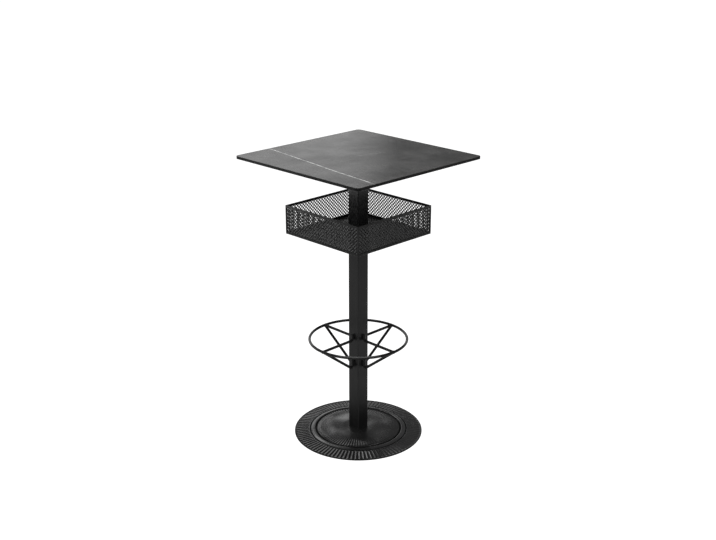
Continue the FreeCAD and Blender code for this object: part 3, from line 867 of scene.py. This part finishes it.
def bend_foot_ring():
    """The ring, a circle turned about the axis, and on each side a spoke and a brace from the ring to a leg
    on the column, with beads where they are welded."""
    tube_radius = (ring_high.z - ring_low.z) / 2
    ring_radius = ring_high.x - tube_radius
    ring_level = (ring_high.z + ring_low.z) / 2
    rod_radius = (spoke_high.x - spoke_low.x) / 2
    leg_y = spoke_high.y - rod_radius

    turn = np.linspace(0, 2 * np.pi, rod_sides, endpoint=False)
    section = np.stack([ring_radius + tube_radius * np.cos(turn),
                        ring_level + tube_radius * np.sin(turn)], axis=-1)
    ring = turned_surface(section, ring_columns)
    make_piece("foot_ring_tube", [grid_shell(ring, True)], ring_coat, ["foot_ring"])

    start = np.array([0, -ring_radius, ring_level])
    spoke_corner = np.array([0, leg_y, ring_level])
    spoke_end = np.array([0, leg_y, spoke_high.z])
    brace_corner_level = ring_level - brace_drop
    brace_end_level = brace_corner_level + brace_leg_length
    brace_corner = np.array([0, leg_y, brace_corner_level])
    brace_end = np.array([0, leg_y, brace_end_level])
    spoke = bent_path(start, spoke_corner, spoke_end, spoke_bend_radius)
    brace = bent_path(start, brace_corner, brace_end, brace_bend_radius)

    beads = [weld_collar(start, path[1][0], tube_radius, rod_radius) for path in (spoke, brace)]
    bead_shells = [grid_shell(bead, True) for bead in beads]
    seams = []
    for low_level, high_level in ((ring_level + spoke_bend_radius, spoke_high.z),
                                  (brace_corner_level + brace_bend_radius, brace_end_level)):
        for x in (-seam_spread * rod_radius, seam_spread * rod_radius):
            low = (x, leg_y + seam_depth * rod_radius, low_level + seam_end_gap)
            high = (x, leg_y + seam_depth * rod_radius, high_level - seam_end_gap)
            seams.append(grid_shell(weld_seam(low, high)))
    for quarter, side in enumerate(SIDES):
        for name, path in (("spoke", spoke), ("brace", brace)):
            points, quads = grid_shell(rod_surface(*path, rod_radius))
            shell = (quarter_turned(points, quarter), quads)
            make_piece("ring_%s_%s" % (name, side), [shell], rod_coat, [name + "_" + side])
        welds = [(quarter_turned(points, quarter), quads) for points, quads in bead_shells + seams]
        make_piece("ring_welds_" + side, welds, rod_coat, [])


# Base

def pocket(radius, ceiling, bore, bore_top, centre):
    """A round pocket in the underside with a narrower bore above it, turned about its own axis."""
    floor = base_low.z
    profile = np.array([[radius, floor], [radius, ceiling], [bore, ceiling], [bore, bore_top], [0, bore_top]])
    return turned_surface(profile, pocket_points, centre)


def underside(rim_ring, pockets):
    """The flat underside between the rim's lowest ring and the mouths of the pockets: a triangulation of all
    their points that keeps to their edges, less the triangles inside a mouth."""
    loops = [rim_ring] + [cut[0] for cut in pockets]
    flat = np.vstack(loops)[:, :2]
    starts = np.cumsum([0] + [len(loop) for loop in loops])
    edges = []
    for loop, start in zip(loops, starts):
        index = np.arange(len(loop))
        edges += np.stack([start + index, start + np.roll(index, -1)], axis=-1).tolist()
    spots, _, faces, *_ = delaunay_2d_cdt([tuple(spot) for spot in flat], edges, [], triangles_inside,
                                          triangle_merge)
    spots = np.array([tuple(spot) for spot in spots])
    faces = np.array(faces)
    middle = spots[faces].mean(axis=1)
    keep = np.ones(len(faces), dtype=bool)
    for cut in pockets:
        centre = cut[0, :, :2].mean(axis=0)
        mouth = np.linalg.norm(cut[0, 0, :2] - centre)
        keep &= np.linalg.norm(middle - centre, axis=1) > mouth
    points = np.column_stack([spots, np.full(len(spots), base_low.z)])
    return points, faces[keep]


def cast_base():
    """The casting: its upper surface cut into rings by finish, the flat underside, and the pockets in it."""
    top = base_top()
    pad_radius = (pad_high.x - pad_low.x) / 2 + pad_pocket_clearance
    stud_radius = (stud_high.x - stud_low.x) / 2 + stud_clearance
    clamp_radius = (washer_high.x - washer_low.x) / 2 + clamp_pocket_clearance
    pockets = [pocket(clamp_radius, washer_high.z, rod_hole_radius, base_high.z - rod_hole_roof, (0, 0))]
    for corner in CORNERS:
        low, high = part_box("pad_" + corner)
        centre = (low + high) / 2
        pockets.append(pocket(pad_radius, pad_high.z + pad_pocket_gap,
                              stud_radius, stud_high.z + stud_bore_gap, centre))
    out = base_outline()[:, 0]
    # Strips beside and in both grooves, and the rim's last rows, take the dark dull paint as painted shade
    inner_groove = np.searchsorted(out, [disc_edge - inner_groove_shade_strip, ridge_inside], "left") + [0, 1]
    outer_groove = np.searchsorted(out, [ridge_outside - outer_groove_shade_strip, band_inside], "left") + [0, 1]
    cuts = [0, *inner_groove, *outer_groove, len(out) - rim_shade_rows - 1, len(out) - 1]
    shells = [grid_shell(top[low:high + 1]) for low, high in zip(cuts, cuts[1:])]
    finishes = [disc_paint, skirt_and_shade_paint, casting, skirt_and_shade_paint, casting, skirt_and_shade_paint]
    band = 4
    points, quads = shells[band]
    row, column = np.divmod(quads[:, 0], top.shape[1])
    radius = out[cuts[band] + row]
    flutes_end = base_high.x - rim_width - outer_flute_run_out
    fluted = (radius > band_inside + outer_flute_margin) & (radius < flutes_end)
    # One wall of each outer flute takes the dark dull paint too: painted shade
    dull = fluted & np.isin(column % len(flute_points), shaded_flute_wall)
    shells[band] = points, quads[~dull]
    shells.append((points, quads[dull]))
    finishes.append(skirt_and_shade_paint)
    below = [underside(top[-1], pockets)] + [grid_shell(cut) for cut in pockets]
    finishes += [skirt_and_shade_paint] * len(below)
    make_piece("ribbed_base", shells + below, finishes, ["base_casting"],
               True, base_sharp_angle)


lay_top()
stand_column()
frame_basket()
hang_mesh()
bend_foot_ring()
cast_base()


# Stage: floor, light and camera

floor_radius = 90.0
floor_points = 64
floor_diffuse = 0.50
floor_glow = 0.95
world_light = 0.21
# Upright panels of soft light: degrees to the left of the way the camera looks, distance, lower and upper
# edge, width, and radiance
softboxes = {
    "back_left_panel": (14.0, 14.0, 1.5, 4.4, 7.9, 0.97),
    "back_left_upper_panel": (15.0, 14.0, 4.4, 6.9, 7.4, 0.57),
    "high_left_panel": (26.0, 10.0, 6.4, 11.5, 4.4, 2.4),
    "low_left_panel": (66.0, 3.2, 0.5, 1.7, 1.8, 3.2),
    "near_left_panel": (90.0, 0.8, 0.72, 0.86, 0.35, 8.0),
    "near_right_panel": (-90.0, 0.8, 0.72, 0.86, 0.35, 3.5),
    "front_panel": (180.0, 4.5, 3.0, 4.5, 1.5, 8.0),
}
overhead_place = (-0.6, -0.6, 3.2)
overhead_side = 1.6
overhead_radiance = 5.0


def lay_floor():
    """A pale floor: it takes the object's shadow, shows white to the camera and in reflections, and is
    clear from below."""
    finish = bpy.data.materials.new("pale_floor")
    finish.use_nodes = True
    tree = finish.node_tree
    tree.nodes.clear()
    path = node(tree, "LightPath")
    seen = sum_up(tree, "MAXIMUM", path.outputs["Is Camera Ray"], path.outputs["Is Glossy Ray"])
    seen = sum_up(tree, "MAXIMUM", seen, path.outputs["Is Transmission Ray"])
    matte = node(tree, "BsdfDiffuse", {"Color": grey(floor_diffuse)}).outputs[0]
    glow = node(tree, "Emission", {"Strength": sum_up(tree, "MULTIPLY", seen, floor_glow)}).outputs[0]
    lit = node(tree, "AddShader", {0: matte, 1: glow}).outputs[0]
    below = node(tree, "NewGeometry").outputs["Backfacing"]
    clear = node(tree, "BsdfTransparent").outputs[0]
    surface = node(tree, "MixShader", {0: below, 1: lit, 2: clear}).outputs[0]
    node(tree, "OutputMaterial", {"Surface": surface})
    angle = np.linspace(0, 2 * np.pi, floor_points, endpoint=False)
    ring = floor_radius * np.stack([np.cos(angle), np.sin(angle), np.zeros(floor_points)], axis=-1)
    mesh = bpy.data.meshes.new("floor")
    mesh.from_pydata(ring.tolist(), [], [list(range(floor_points))])
    mesh.materials.append(finish)
    floor = bpy.data.objects.new("floor", mesh)
    bpy.context.scene.collection.objects.link(floor)


def hang_panel(name, width, height, radiance, location, rotation):
    """A panel of soft light that the camera doesn't see. radiance is what a mirror would show of it: its
    power is that times pi times its area."""
    lamp = bpy.data.lights.new(name, "AREA")
    lamp.shape = "RECTANGLE"
    lamp.size = width
    lamp.size_y = height
    lamp.energy = radiance * math.pi * width * height
    panel = bpy.data.objects.new(name, lamp)
    panel.location = location
    panel.rotation_euler = rotation
    panel.visible_camera = False
    bpy.context.scene.collection.objects.link(panel)


def light_scene():
    """An even world, the upright panels, which face the table's axis, and one overhead that faces down."""
    world = bpy.data.worlds.new("studio")
    world.use_nodes = True
    world.node_tree.nodes["Background"].inputs["Color"].default_value = (1, 1, 1, 1)
    world.node_tree.nodes["Background"].inputs["Strength"].default_value = world_light
    bpy.context.scene.world = world
    for name, (azimuth, distance, low, high, width, radiance) in softboxes.items():
        heading = camera_azimuth - math.radians(azimuth)
        location = (distance * math.sin(heading), distance * math.cos(heading), (low + high) / 2)
        hang_panel(name, width, high - low, radiance, location, (math.pi / 2, 0, math.pi - heading))
    hang_panel("overhead_panel", overhead_side, overhead_side, overhead_radiance, overhead_place,
               (0, 0, -camera_azimuth))


def set_camera():
    """The camera of the picture, level from side to side."""
    lens = bpy.data.cameras.new("camera")
    lens.lens = camera_lens
    lens.sensor_width = sensor_width
    camera = bpy.data.objects.new("camera", lens)
    camera.location = camera_place
    camera.rotation_euler = (math.pi / 2 - camera_pitch, 0, -camera_azimuth)
    bpy.context.scene.collection.objects.link(camera)
    bpy.context.scene.camera = camera


lay_floor()
light_scene()
set_camera()
bpy.context.scene.view_settings.view_transform = "Standard"
